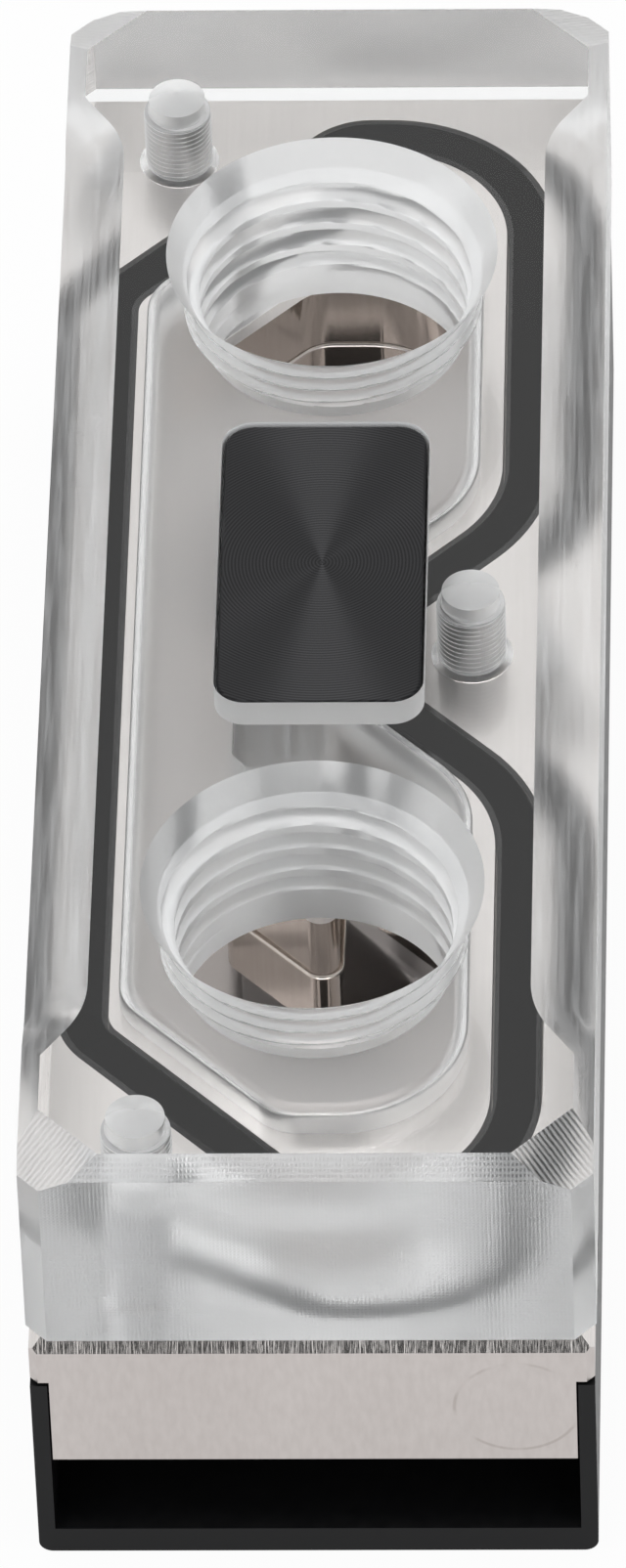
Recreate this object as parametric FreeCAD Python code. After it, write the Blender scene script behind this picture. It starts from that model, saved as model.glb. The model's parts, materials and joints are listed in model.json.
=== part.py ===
"""Liquid cooling cold plate for an M.2 2280 solid-state drive.

A clear acrylic terminal with two G1/4 ports is screwed down on a nickel-plated copper cold plate,
and a folded black tray hangs below it, so that the drive slides into the slot between the two.

Frame: X across, Y along the drive, Z up. The origin is the middle of the tray's underside.
Units: millimetres.
"""
import FreeCAD, Part
import math
import os
from FreeCAD import Vector

os.makedirs("parts", exist_ok=True)

# ---------------------------------------------------------------- driving dimensions
length = 71.6              # every layer has the same length

# slot for the drive
drive_width = 22.0         # an M.2 card is 22 mm wide
drive_side_gap = 0.18      # free space beside the card, each side
slot_height = 4.4          # from the tray's floor to the contact face

# tray
tray_wall = 0.72
tray_floor = 1.4
tray_fold_radius = 0.6     # outside of the two long folds
tray_reveal = 0.2          # open joint between the tray's walls and the flange

# cold plate
heel_depth = 4.8           # narrow lower part that goes down between the tray's walls
heel_side_gap = 0.08       # free space between the heel and each wall of the tray
flange_thickness = 2.6
flange_edge_break = 0.8    # chamfer round the flange's top
flange_corner_break = 0.35

# clear terminal
top_thickness = 10.6
top_overhang = 0.1         # how far the terminal stands out past the flange, each side
top_edge_break = 0.85      # 45 degree chamfer all round the top face
top_corner_break = 0.92    # 45 degree chamfer on the four upright corners
corner_facet = 4.25        # where each corner's facet meets the top: distance along both sides, added
cutter_slope = 30.0        # degrees from the horizontal, facets and side bevels
bevel_width = 2.7          # side bevel, measured in from the side face
bevel_end_gap = 10.6       # end face to where the side bevel starts to run out
bevel_runout_radius = 4.6
bevel_runout_turn = 35.0   # degrees

# ports
port_spacing = 38.7
port_drill_radius = 5.9    # tapping drill for G1/4
port_mouth_radius = 7.28
port_mouth_half_angle = 30.0

# water chamber, milled into the underside of the terminal
chamber_height = 2.4
chamber_side_left = 3.6    # the flange's left side to the chamber's left wall
chamber_side_right = 5.35
chamber_end_gap = 7.4      # end face to the chamber's end wall
chamber_corner_cut = 6.8   # leg of the 45 degree cut at the two left corners
chamber_corner_radius = 5.5
chamber_bend_radius = 2.6  # the shallower bends
chamber_shoulder_radius = 5.0  # where the right wall turns in towards the middle screw
chamber_roof_radius = 0.65
chamber_waist_side = 12.9  # the flange's right side to the waist, which lies under the divider
chamber_waist_half = 1.5   # half the length of the straight stretch there

# tub, milled into the top of the cold plate under the chamber
tub_inset = 0.55           # from the chamber's wall
tub_depth = 3.3
tub_floor_break = 0.2
divider_left_gap = 3.9     # chamber's left wall to the flow divider that stands in the tub
divider_side_right = 11.25 # the flange's right side to the divider's right face
divider_half_length = 11.5
divider_nose_width = 1.1   # each end, from the right face to the 45 degree face
divider_bend_radius = 1.0

# seal
seal_side_left = 2.05      # the flange's left side to the seal's centre line
seal_side_right = 3.3
seal_end_gap = 3.2
seal_corner_cut = 10.15
seal_corner_radius = 6.5
seal_bend_radius = 2.5
seal_shoulder_radius = 7.0
seal_waist_side = 9.3      # the flange's right side to the seal beside the middle screw
seal_waist_half = 2.7
seal_width = 2.0
seal_height = 1.6
seal_edge_break = 0.2       # chamfer where the pressed cord leaves the joint face
seal_side_gap = 0.1        # free space beside the cord in its groove, each side

# inlay plate in the terminal's top
inlay_width = 8.75
inlay_length = 16.9
inlay_thickness = 2.4
inlay_corner_radius = 1.25
inlay_gap = 0.13
inlay_recess = 0.08        # the plate lies this much below the top face

# three M3 screws that hold the terminal down
m3_radius = 1.5
m3_pilot_radius = 1.25
m3_head_radius = 2.75
m3_head_height = 3.0
m3_socket_flats = 2.5
m3_socket_depth = 1.5
m3_shank_gap = 0.1         # clearance hole in the cold plate
m3_thread_gap = 0.03       # screw to the thread's root in the acrylic
m3_head_gap = 0.15
m3_head_recess = 0.2       # the head stays this far above the contact face
m3_tapped_depth = 6.2
m3_tip_gap = 0.4           # the screw's tip to the end of its thread
m3_drilled_depth = 7.25
m3_countersink_radius = 1.8
m3_left_gap = 4.7          # the flange's left side to the two left screws
m3_right_gap = 5.55        # the flange's right side to the middle screw
m3_end_gap = 4.7
drill_point = 118.0        # degrees

# four M2 countersunk screws that hold the tray
m2_radius = 1.0
m2_head_radius = 1.75
m2_length = 3.6
m2_socket_flats = 1.3
m2_socket_depth = 0.55
m2_gap = 0.04
m2_end_gap = 9.8

# ---------------------------------------------------------------- places worked out from them
tray_inner_width = drive_width + 2 * drive_side_gap
metal_width = tray_inner_width + 2 * tray_wall
heel_width = tray_inner_width - 2 * heel_side_gap
top_width = metal_width + 2 * top_overhang

half_width = metal_width / 2
half_length = length / 2
contact_z = tray_floor + slot_height
flange_z = contact_z + heel_depth
joint_z = flange_z + flange_thickness
top_z = joint_z + top_thickness
roof_z = joint_z + chamber_height

chamber_left = half_width - chamber_side_left
chamber_right = half_width - chamber_side_right
chamber_waist = half_width - chamber_waist_side
divider_left = chamber_left - divider_left_gap
divider_right = half_width - divider_side_right
divider_nose_radius = 0.98 * divider_nose_width / math.sqrt(2)     # all but a full round
seal_left = half_width - seal_side_left
seal_right = half_width - seal_side_right
seal_waist = half_width - seal_waist_side
m3_left = half_width - m3_left_gap
m3_right = half_width - m3_right_gap

UP = Vector(0, 0, 1)
port_places = [Vector(0, -port_spacing / 2, 0), Vector(0, port_spacing / 2, 0)]
m3_places = [
    Vector(-m3_left, -half_length + m3_end_gap, 0),
    Vector(-m3_left, half_length - m3_end_gap, 0),
    Vector(m3_right, 0, 0),
]


# ---------------------------------------------------------------- helpers
def centred_box(width, depth, height, z):
    """A box centred on the Z axis that stands on z."""
    return Part.makeBox(width, depth, height, Vector(-width / 2, -depth / 2, z))


def rounded_wire(corners, z):
    """A closed wire through (x, y, radius) corners, each rounded by an arc."""
    count = len(corners)
    edges = []
    starts = []
    ends = []
    mids = []
    for i, (x, y, radius) in enumerate(corners):
        corner = Vector(x, y, z)
        back = Vector(*corners[i - 1][:2], z) - corner
        ahead = Vector(*corners[(i + 1) % count][:2], z) - corner
        back.normalize()
        ahead.normalize()
        half_angle = back.getAngle(ahead) / 2
        run = radius / math.tan(half_angle)
        inward = back + ahead
        inward.normalize()
        centre = corner + inward * (radius / math.sin(half_angle))
        starts.append(corner + back * run)
        ends.append(corner + ahead * run)
        mids.append(centre - inward * radius)
    for i in range(count):
        if corners[i][2] > 0:
            edges.append(Part.Arc(starts[i], mids[i], ends[i]).toShape())
        following = (i + 1) % count
        if ends[i].distanceToPoint(starts[following]) > 1e-6:
            edges.append(Part.makeLine(ends[i], starts[following]))
    return Part.Wire(edges)


def mirrored_along(corners):
    """Corners of the front half, followed by the same corners of the rear half."""
    return corners + [(x, -y, radius) for x, y, radius in corners[::-1]]


def prism(wire, height):
    return Part.Face(wire).extrude(Vector(0, 0, height))


def slope_cutter(edge_point, outward, slope):
    """Everything above a plane that falls away along `outward` from a line on the top face."""
    reach = 40.0
    block = Part.makeBox(2 * reach, reach, reach, Vector(-reach, 0, 0))
    block.rotate(Vector(0, 0, 0), Vector(1, 0, 0), -slope)
    turn = math.degrees(math.atan2(outward.y, outward.x)) - 90
    block.rotate(Vector(0, 0, 0), UP, turn)
    block.translate(edge_point)
    return block


def break_top_edges(body, width, z, size):
    """45 degree chamfer along the four edges of a top face, straight through at the corners."""
    for outward, reach in ((Vector(1, 0, 0), width / 2), (Vector(0, 1, 0), half_length)):
        for sign in (1, -1):
            direction = outward * sign
            body = body.cut(slope_cutter(direction * (reach - size) + UP * z, direction, 45))
    return body


def edges_at(shape, z, keep=lambda edge: True):
    """Edges that lie wholly at one height."""
    found = []
    for edge in shape.Edges:
        box = edge.BoundBox
        if abs(box.ZMin - z) < 1e-4 and abs(box.ZMax - z) < 1e-4 and keep(edge):
            found.append(edge)
    return found


def fitted_corner(radius, end_wall, bend_radius):
    """A corner's radius, limited by the end wall that it shares with a 45 degree bend."""
    bend_run = bend_radius * math.tan(math.radians(22.5))
    return min(radius, 0.98 * (end_wall - bend_run))


# ---------------------------------------------------------------- outlines
def chamber_outline(inset, z):
    """The water chamber's wall, moved inward by `inset`."""
    end = -half_length + chamber_end_gap + inset
    diagonal = inset * (math.sqrt(2) - 1)
    cut = chamber_corner_cut
    waist = chamber_waist - inset
    shoulder = chamber_right - inset
    waist_half = chamber_waist_half + diagonal
    cut_x = -chamber_left + inset + cut - diagonal
    corner = fitted_corner(chamber_corner_radius - inset, shoulder - cut_x, chamber_bend_radius)
    front = [
        (waist, -waist_half, chamber_bend_radius),
        (shoulder, -waist_half - (shoulder - waist), chamber_shoulder_radius - inset),
        (shoulder, end, corner),
        (cut_x, end, chamber_bend_radius),
        (-chamber_left + inset, end + cut - diagonal, chamber_bend_radius),
    ]
    return rounded_wire(mirrored_along(front), z)


def island_outline(inset, z):
    """The flow divider between the two ports, moved inward by `inset`: it bars the way straight
    across, so the flow takes the channel along its left side."""
    diagonal = inset * (math.sqrt(2) - 1)
    nose_left = divider_right - divider_nose_width
    bend = -divider_half_length + divider_left + nose_left
    front = [
        (divider_right - inset, -divider_half_length + inset, divider_nose_radius - inset),
        (nose_left + diagonal, -divider_half_length + inset, divider_nose_radius - inset),
        (-divider_left + inset, bend + diagonal, divider_bend_radius - inset),
    ]
    return rounded_wire(mirrored_along(front), z)


def seal_path(z):
    """The centre line of the seal."""
    end = -half_length + seal_end_gap
    cut_x = -seal_left + seal_corner_cut
    corner = fitted_corner(seal_corner_radius, seal_right - cut_x, seal_bend_radius)
    front = [
        (seal_waist, -seal_waist_half, seal_bend_radius),
        (seal_right, -seal_waist_half - (seal_right - seal_waist), seal_shoulder_radius),
        (seal_right, end, corner),
        (cut_x, end, seal_bend_radius),
        (-seal_left, end + seal_corner_cut, seal_bend_radius),
    ]
    return rounded_wire(mirrored_along(front), z)


def band(path, width, height):
    """A flat band that follows a path, with its lower face on the path's plane."""
    outer = Part.Face(path.makeOffset2D(width / 2))
    inner = Part.Face(path.makeOffset2D(-width / 2))
    return outer.cut(inner).extrude(Vector(0, 0, height))


# ---------------------------------------------------------------- tray
def make_tray():
    body = centred_box(metal_width, length, flange_z - tray_reveal, 0)
    folds = edges_at(body, 0, lambda edge: edge.BoundBox.YLength > length / 2)
    body = body.makeFillet(tray_fold_radius, folds)
    slot = centred_box(tray_inner_width, length, top_z, tray_floor)
    body = body.cut(slot)
    for screw in m2_screws(m2_gap):
        body = body.cut(screw)
    return body


# ---------------------------------------------------------------- cold plate
def make_cold_plate():
    flange = centred_box(metal_width, length, flange_thickness, flange_z)
    uprights = [edge for edge in flange.Edges if edge.BoundBox.ZLength > flange_thickness / 2]
    flange = flange.makeChamfer(flange_corner_break, uprights)
    flange = break_top_edges(flange, metal_width, joint_z, flange_edge_break)
    heel = centred_box(heel_width, length, heel_depth, contact_z)
    body = flange.fuse(heel).removeSplitter()

    floor_z = joint_z - tub_depth
    tub = prism(chamber_outline(tub_inset, floor_z), tub_depth)
    tub = tub.makeChamfer(tub_floor_break, edges_at(tub, floor_z))
    divider = prism(island_outline(0, floor_z), tub_depth)
    body = body.cut(tub.cut(divider))

    groove = band(seal_path(joint_z - seal_height), seal_width + 2 * seal_side_gap, seal_height)
    body = body.cut(groove)

    for place in m3_places:
        shank = Part.makeCylinder(m3_radius + m3_shank_gap, joint_z - contact_z, place + UP * contact_z)
        pocket_depth = m3_head_height + m3_head_recess
        pocket = Part.makeCylinder(m3_head_radius + m3_head_gap, pocket_depth, place + UP * contact_z)
        body = body.cut(shank.fuse(pocket))
    for screw in m2_screws(m2_gap):
        body = body.cut(screw)
    return body


# ---------------------------------------------------------------- seal
def make_seal():
    base_z = joint_z - seal_height
    body = band(seal_path(base_z), seal_width, seal_height)
    rims = edges_at(body, base_z) + edges_at(body, joint_z)
    return body.makeChamfer(seal_edge_break, rims)


# ---------------------------------------------------------------- clear terminal
def side_bevel_cutter(side):
    """A 60 degree cutter's path along one side, as the ruled body between two levels of it."""
    spread = 1 / math.tan(math.radians(cutter_slope))
    turn = math.radians(bevel_runout_turn)
    outside = top_width
    wires = []
    for height in (0.4, -2.0):
        radius = bevel_runout_radius + height * spread
        centre_x = top_width / 2 - bevel_width + bevel_runout_radius
        centre_y = half_length - bevel_end_gap
        corners = []
        for end in (-1, 1):
            centre = Vector(centre_x, end * centre_y, top_z + height)
            inner = centre + Vector(-radius, 0, 0)
            middle = centre + Vector(-radius * math.cos(turn / 2), end * radius * math.sin(turn / 2), 0)
            outer = centre + Vector(-radius * math.cos(turn), end * radius * math.sin(turn), 0)
            run = (outside - outer.x) / math.sin(turn)
            far = outer + Vector(run * math.sin(turn), end * run * math.cos(turn), 0)
            corners.append((inner, middle, outer, far))
        front, rear = corners
        wires.append(Part.Wire([
            Part.makeLine(front[3], front[2]),
            Part.Arc(front[2], front[1], front[0]).toShape(),
            Part.makeLine(front[0], rear[0]),
            Part.Arc(rear[0], rear[1], rear[2]).toShape(),
            Part.makeLine(rear[2], rear[3]),
            Part.makeLine(rear[3], front[3]),
        ]))
    cutter = Part.makeLoft(wires, True, True)
    if side < 0:
        cutter = cutter.mirror(Vector(0, 0, 0), Vector(1, 0, 0))
    return cutter


def port_cutter(place):
    bore = Part.makeCylinder(port_drill_radius, top_z - roof_z + 1, place + UP * (roof_z - 1))
    flare = (port_mouth_radius - port_drill_radius) / math.tan(math.radians(port_mouth_half_angle))
    mouth = Part.makeCone(port_drill_radius, port_mouth_radius, flare, place + UP * (top_z - flare))
    return bore.fuse(mouth)


def tapped_hole(place):
    """Blind M3 hole from below: countersink, thread at its root radius, pilot and drill point."""
    sink = m3_countersink_radius - m3_radius
    point = m3_pilot_radius / math.tan(math.radians(drill_point / 2))
    drilled_z = joint_z + m3_drilled_depth
    hole = Part.makeCylinder(m3_radius, m3_tapped_depth, place + UP * joint_z)
    hole = hole.fuse(Part.makeCylinder(m3_pilot_radius, m3_drilled_depth, place + UP * joint_z))
    hole = hole.fuse(Part.makeCone(m3_pilot_radius, 0, point, place + UP * drilled_z))
    return hole.fuse(Part.makeCone(m3_countersink_radius, m3_radius, sink, place + UP * joint_z))


def inlay_wire(gap, z):
    half_x = inlay_width / 2 + gap
    half_y = inlay_length / 2 + gap
    radius = inlay_corner_radius + gap
    corners = [(half_x, -half_y), (half_x, half_y), (-half_x, half_y), (-half_x, -half_y)]
    return rounded_wire([(x, y, radius) for x, y in corners], z)


def make_terminal():
    body = centred_box(top_width, length, top_thickness, joint_z)
    uprights = [edge for edge in body.Edges if edge.BoundBox.ZLength > top_thickness / 2]
    body = body.makeChamfer(top_corner_break, uprights)

    body = break_top_edges(body, top_width, top_z, top_edge_break)

    side = top_width / 2
    for x in (1, -1):
        for y in (1, -1):
            direction = Vector(x, y, 0)
            direction.normalize()
            start = Vector(x * (side - corner_facet / 2), y * (half_length - corner_facet / 2), top_z)
            body = body.cut(slope_cutter(start, direction, cutter_slope))
        body = body.cut(side_bevel_cutter(x))

    chamber = prism(chamber_outline(0, joint_z), chamber_height)
    chamber = chamber.makeFillet(chamber_roof_radius, edges_at(chamber, roof_z))
    rib = prism(island_outline(tub_inset, joint_z), chamber_height)
    body = body.cut(chamber.cut(rib))
    for place in port_places:
        body = body.cut(port_cutter(place))
    for place in m3_places:
        body = body.cut(tapped_hole(place))

    pocket_depth = inlay_thickness + inlay_recess
    return body.cut(prism(inlay_wire(inlay_gap, top_z - pocket_depth), pocket_depth))


def make_inlay():
    body = prism(inlay_wire(0, top_z - inlay_recess - inlay_thickness), inlay_thickness)
    return body.makeChamfer(0.1, edges_at(body, top_z - inlay_recess))


# ---------------------------------------------------------------- screws
def hexagon(flats, centre, turn=None):
    """A closed wire, level unless a turn is given."""
    circumradius = flats / math.sqrt(3)
    corners = [Vector(circumradius * math.cos(math.radians(60 * i)),
                      circumradius * math.sin(math.radians(60 * i)), 0) for i in range(7)]
    if turn:
        corners = [turn.multVec(corner) for corner in corners]
    return Part.makePolygon([centre + corner for corner in corners])


def m3_screw(place):
    """Socket head cap screw, head down in the cold plate's underside."""
    head_z = contact_z + m3_head_recess
    bearing_z = head_z + m3_head_height
    head = Part.makeCylinder(m3_head_radius, m3_head_height, place + UP * head_z)
    shank_length = joint_z + m3_tapped_depth - m3_tip_gap - bearing_z
    shank = Part.makeCylinder(m3_radius - m3_thread_gap, shank_length, place + UP * bearing_z)
    socket = prism(hexagon(m3_socket_flats, place + UP * head_z), m3_socket_depth)
    return head.fuse(shank).cut(socket)


def m2_screws(gap=0.0):
    """Countersunk screws in the tray's two long walls; `gap` makes their holes."""
    z = (contact_z + flange_z) / 2
    sink = m2_head_radius - m2_radius
    screws = []
    for side in (1, -1):
        inward = Vector(-side, 0, 0)
        for end in (-1, 1):
            start = Vector(side * half_width, end * (half_length - m2_end_gap), z)
            head = Part.makeCone(m2_head_radius + gap, m2_radius + gap, sink, start, inward)
            shank = Part.makeCylinder(m2_radius + gap, m2_length + gap, start, inward)
            screw = head.fuse(shank)
            if gap == 0:
                socket = Part.Face(hexagon(m2_socket_flats, start, FreeCAD.Rotation(UP, inward)))
                screw = screw.cut(socket.extrude(inward * m2_socket_depth))
            screws.append(screw)
    return screws


# ---------------------------------------------------------------- export
pieces = {
    "lower_tray": make_tray(),
    "cold_plate": make_cold_plate(),
    "seal_ring": make_seal(),
    "clear_terminal": make_terminal(),
    "inlay_plate": make_inlay(),
    "terminal_screws": Part.makeCompound([m3_screw(place) for place in m3_places]),
    "tray_screws": Part.makeCompound(m2_screws()),
}

for name, shape in pieces.items():
    print(name, "valid" if shape.isValid() else "NOT VALID", len(shape.Solids), "solids",
          round(shape.Volume, 1), "mm3")
    shape.exportStep("parts/" + name + ".step")
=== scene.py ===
"""Looks of the liquid cooling cold plate: clear terminal with its threads, seal, nickel plate,
spun inlay and black tray, lit as in a white studio.

The part's lengths are in millimetres and become metres when a mesh is made. The frame is the CAD's:
X across, Y along the drive, Z up, with the origin in the middle of the tray's underside.
"""
import json
import math

import bmesh
import bpy
from mathutils import Matrix, Vector


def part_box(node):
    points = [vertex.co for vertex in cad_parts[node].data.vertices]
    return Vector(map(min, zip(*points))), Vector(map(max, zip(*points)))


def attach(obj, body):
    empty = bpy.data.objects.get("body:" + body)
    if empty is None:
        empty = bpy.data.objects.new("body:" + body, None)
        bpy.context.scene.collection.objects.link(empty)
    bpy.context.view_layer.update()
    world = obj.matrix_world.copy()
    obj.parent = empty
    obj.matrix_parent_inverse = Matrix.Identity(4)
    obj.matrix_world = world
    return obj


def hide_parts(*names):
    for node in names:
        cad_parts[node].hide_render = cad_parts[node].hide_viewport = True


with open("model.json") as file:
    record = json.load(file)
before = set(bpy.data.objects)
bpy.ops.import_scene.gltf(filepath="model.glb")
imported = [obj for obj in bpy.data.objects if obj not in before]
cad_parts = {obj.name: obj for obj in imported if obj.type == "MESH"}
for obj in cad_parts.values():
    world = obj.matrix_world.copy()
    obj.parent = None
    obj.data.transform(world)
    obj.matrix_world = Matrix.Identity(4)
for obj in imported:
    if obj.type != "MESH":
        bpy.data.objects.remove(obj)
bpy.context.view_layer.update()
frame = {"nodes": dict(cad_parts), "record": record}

MM = 0.001
scene = bpy.context.scene


def node_box(node):
    """Lowest and highest corner of a CAD node, in millimetres."""
    low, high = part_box(node)
    return low / MM, high / MM


# ------------------------------------------------------------------ sizes from the frame
terminal_low, terminal_high = node_box("clear_terminal")
plate_low, plate_high = node_box("cold_plate")
inlay_low, inlay_high = node_box("inlay_plate")
mounts = {mount["name"]: mount for mount in frame["record"]["mounts"]}
port_places = [Vector(mounts[name]["pos_m"]).xy / MM for name in ("front_port", "rear_port")]

TOP_Z = terminal_high.z
JOINT_Z = terminal_low.z
CONTACT_Z = plate_low.z
HALF_LENGTH = terminal_high.y
TOP_HALF = terminal_high.x          # terminal, half width
METAL_HALF = plate_high.x           # flange, half width

# ------------------------------------------------------------------ the part's own sizes
JOINT_GAP = 0.02                    # air left between terminal and cold plate
TOP_EDGE_BREAK = 0.85
TOP_CORNER_BREAK = 0.92
CORNER_FACET = 4.25                 # distance of a facet along both sides of its corner, added
CUTTER_SLOPE = 30.0                 # degrees from the horizontal, facets and side bevels
BEVEL_WIDTH = 2.7
BEVEL_END_GAP = 10.6                # end face to where the side bevel starts to run out
BEVEL_RUNOUT_RADIUS = 4.6
BEVEL_RUNOUT_TURN = 35.0            # degrees

PORT_DRILL_RADIUS = 5.9
PORT_MOUTH_RADIUS = 7.28
PORT_MOUTH_ANGLE = 30.0             # degrees, from the port's axis
PORT_CONE_DEPTH = 1.2               # the thread starts below
PORT_PITCH = 1.337
PORT_MAJOR_RADIUS = 6.58
PORT_MINOR_RADIUS = 5.72
PORT_THREAD_DEPTH = 7.0
PORT_THREAD_RUNOUT = 0.6            # the thread has faded out this far below its depth,
PORT_THREAD_FADE = 1.3              # over this many pitches

CHAMBER_HEIGHT = 2.4
CHAMBER_ROOF_RADIUS = 0.65
CHAMBER_SIDE_LEFT = 3.6             # the flange's left side to the chamber's left wall
CHAMBER_SIDE_RIGHT = 5.35
CHAMBER_END_GAP = 7.4
CHAMBER_CORNER_CUT = 6.8
CHAMBER_CORNER_RADIUS = 5.5
CHAMBER_BEND_RADIUS = 2.6
CHAMBER_SHOULDER_RADIUS = 5.0
CHAMBER_WAIST_SIDE = 12.9           # the flange's right side to the waist
CHAMBER_WAIST_HALF = 1.5

TUB_INSET = 0.55                    # from the chamber's wall
TUB_DEPTH = 3.3
TUB_FLOOR_RADIUS = 0.2
DIVIDER_LEFT_GAP = 3.9              # chamber's left wall to the flow divider
DIVIDER_SIDE_RIGHT = 11.25          # the flange's right side to the flow divider
DIVIDER_HALF_LENGTH = 11.5
DIVIDER_NOSE_WIDTH = 1.1
DIVIDER_BEND_RADIUS = 1.0

SEAL_SIDE_LEFT = 2.05               # the flange's left side to the seal's centre line
SEAL_SIDE_RIGHT = 3.3
SEAL_END_GAP = 3.2
SEAL_CORNER_CUT = 10.15
SEAL_CORNER_RADIUS = 6.5
SEAL_BEND_RADIUS = 2.5
SEAL_SHOULDER_RADIUS = 7.0
SEAL_WAIST_SIDE = 9.3               # the flange's right side to the seal beside the middle screw
SEAL_WAIST_HALF = 2.7
SEAL_WIDTH = 2.0
SEAL_HEIGHT = 1.6                   # also the groove's depth
SEAL_SIDE_GAP = 0.1
SEAL_CONTACT = 1.56                 # width of the flattened band that presses on the terminal
SEAL_PRESS = 0.008                  # how far that band stands into the terminal's underside
SEAL_SHOULDER_HEIGHT = 0.5
SEAL_FOOT_BREAK = (0.2, 0.25)       # width and height of the broken lower edges

INLAY_GAP = 0.13
INLAY_CORNER_RADIUS = 1.25

FLANGE_THICKNESS = 2.6
FLANGE_EDGE_BREAK = 0.8
FLANGE_CORNER_BREAK = 0.35
TRAY_WALL = 0.72
HEEL_SIDE_GAP = 0.08                # free space between the heel and each wall of the tray

M3_PITCH = 0.5
M3_MAJOR_RADIUS = 1.5
M3_MINOR_RADIUS = 1.23
M3_TAPPED_DEPTH = 6.2
M3_RELIEF = 0.15                    # a plain ring past the end of the thread
M3_DRILLED_DEPTH = 7.25
M3_DRILL_RADIUS = 1.25
M3_COUNTERSINK_RADIUS = 1.8
M3_SHANK_HOLE_RADIUS = 1.6
M3_HOLE_BREAK = 0.15
M3_POCKET_RADIUS = 2.9
M3_POCKET_DEPTH = 3.2
M3_LEFT_GAP = 4.7                   # the flange's left side to the two left screws
M3_RIGHT_GAP = 5.55                 # the flange's right side to the middle screw
M3_END_GAP = 4.7
DRILL_POINT = 118.0                 # degrees
DRILL_TIP = 0.985                   # share of the drill's point that is cut: its tip is a little blunt

THREAD_FLAT = 0.14                  # share of half a pitch that is level, at crest and root
THREAD_ROUNDING = 0.35              # 0 has straight flanks, 1 a full wave

# ------------------------------------------------------------------ how finely it is cut
OVERCUT = 1.0                       # how far a cutter reaches past the face that it cuts
MOUTH_OVERCUT = 0.6                 # the same for a port's mouth,
SINK_OVERCUT = 0.05                 # and for the countersink of an M3 hole
SKIN = 0.002                        # depth of a cut that only gives a face its own material
LEDGE = 0.001                       # rise of a level step in a turned profile
BEVEL_CUTTER = (-2.0, 0.4)          # lower and upper end of the bevel's cutter, from the top face
BEVEL_RUNOUT_STEPS = 12
PORT_SEGMENTS = 144
PORT_LEVELS_PER_PITCH = 18
M3_SEGMENTS = 56
M3_LEVELS_PER_PITCH = 10
M3_HOLE_SEGMENTS = 48
SHARP_ANGLE = 32.0                  # degrees, between two faces that shade apart

# ------------------------------------------------------------------ places worked out from them
UNDERSIDE_Z = JOINT_Z + JOINT_GAP
ROOF_Z = JOINT_Z + CHAMBER_HEIGHT
TUB_FLOOR_Z = JOINT_Z - TUB_DEPTH
FLANGE_Z = JOINT_Z - FLANGE_THICKNESS
HEEL_HALF = METAL_HALF - TRAY_WALL - HEEL_SIDE_GAP

CHAMBER_LEFT = METAL_HALF - CHAMBER_SIDE_LEFT
CHAMBER_RIGHT = METAL_HALF - CHAMBER_SIDE_RIGHT
CHAMBER_WAIST = METAL_HALF - CHAMBER_WAIST_SIDE
DIVIDER_LEFT = CHAMBER_LEFT - DIVIDER_LEFT_GAP
DIVIDER_RIGHT = METAL_HALF - DIVIDER_SIDE_RIGHT
DIVIDER_NOSE_RADIUS = 0.98 * DIVIDER_NOSE_WIDTH / math.sqrt(2)      # all but a full round
SEAL_LEFT = METAL_HALF - SEAL_SIDE_LEFT
SEAL_RIGHT = METAL_HALF - SEAL_SIDE_RIGHT
SEAL_WAIST = METAL_HALF - SEAL_WAIST_SIDE

M3_POINT_RISE = M3_DRILL_RADIUS / math.tan(math.radians(DRILL_POINT / 2))
M3_PLACES = [
    Vector((-METAL_HALF + M3_LEFT_GAP, -HALF_LENGTH + M3_END_GAP)),
    Vector((-METAL_HALF + M3_LEFT_GAP, HALF_LENGTH - M3_END_GAP)),
    Vector((METAL_HALF - M3_RIGHT_GAP, 0.0)),
]


# ------------------------------------------------------------------ outlines
def rounded(corners, step):
    """A closed outline through (x, y, radius) corners: points with their outward normals.

    The corners run anticlockwise. An arc has a point at least every `step` degrees.
    """
    outline = []
    count = len(corners)
    for i, (x, y, radius) in enumerate(corners):
        corner = Vector((x, y))
        back = (Vector(corners[i - 1][:2]) - corner).normalized()
        ahead = (Vector(corners[(i + 1) % count][:2]) - corner).normalized()
        half = back.angle(ahead) / 2
        convex = back.x * ahead.y - back.y * ahead.x < 0
        bisector = (back + ahead).normalized()
        centre = corner + bisector * (radius / math.sin(half))
        start = corner + back * (radius / math.tan(half)) - centre
        sweep = math.pi - 2 * half
        steps = max(2, math.ceil(math.degrees(sweep) / step))
        turn = sweep if convex else -sweep
        for k in range(steps + 1):
            spoke = start.copy()
            spoke.rotate(Matrix.Rotation(turn * k / steps, 2))
            normal = spoke.normalized() * (1 if convex else -1)
            outline.append((centre + spoke, normal))
    return outline


def mirrored(front):
    """Front-half corners, followed by the same corners of the rear half; anticlockwise."""
    corners = front + [(x, -y, radius) for x, y, radius in front[::-1]]
    return corners[::-1]


def level(outline, offset, z):
    """The outline's points, moved outward by an offset and set at a height."""
    return [(*(point + normal * offset), z) for point, normal in outline]


def chamber_outline():
    """The water chamber's wall: cut off at its left corners, with a waist at the right."""
    end = -HALF_LENGTH + CHAMBER_END_GAP
    shoulder = -CHAMBER_WAIST_HALF - CHAMBER_RIGHT + CHAMBER_WAIST
    return rounded(mirrored([
        (CHAMBER_WAIST, -CHAMBER_WAIST_HALF, CHAMBER_BEND_RADIUS),
        (CHAMBER_RIGHT, shoulder, CHAMBER_SHOULDER_RADIUS),
        (CHAMBER_RIGHT, end, CHAMBER_CORNER_RADIUS),
        (-CHAMBER_LEFT + CHAMBER_CORNER_CUT, end, CHAMBER_BEND_RADIUS),
        (-CHAMBER_LEFT, end + CHAMBER_CORNER_CUT, CHAMBER_BEND_RADIUS),
    ]), step=5.0)


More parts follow.
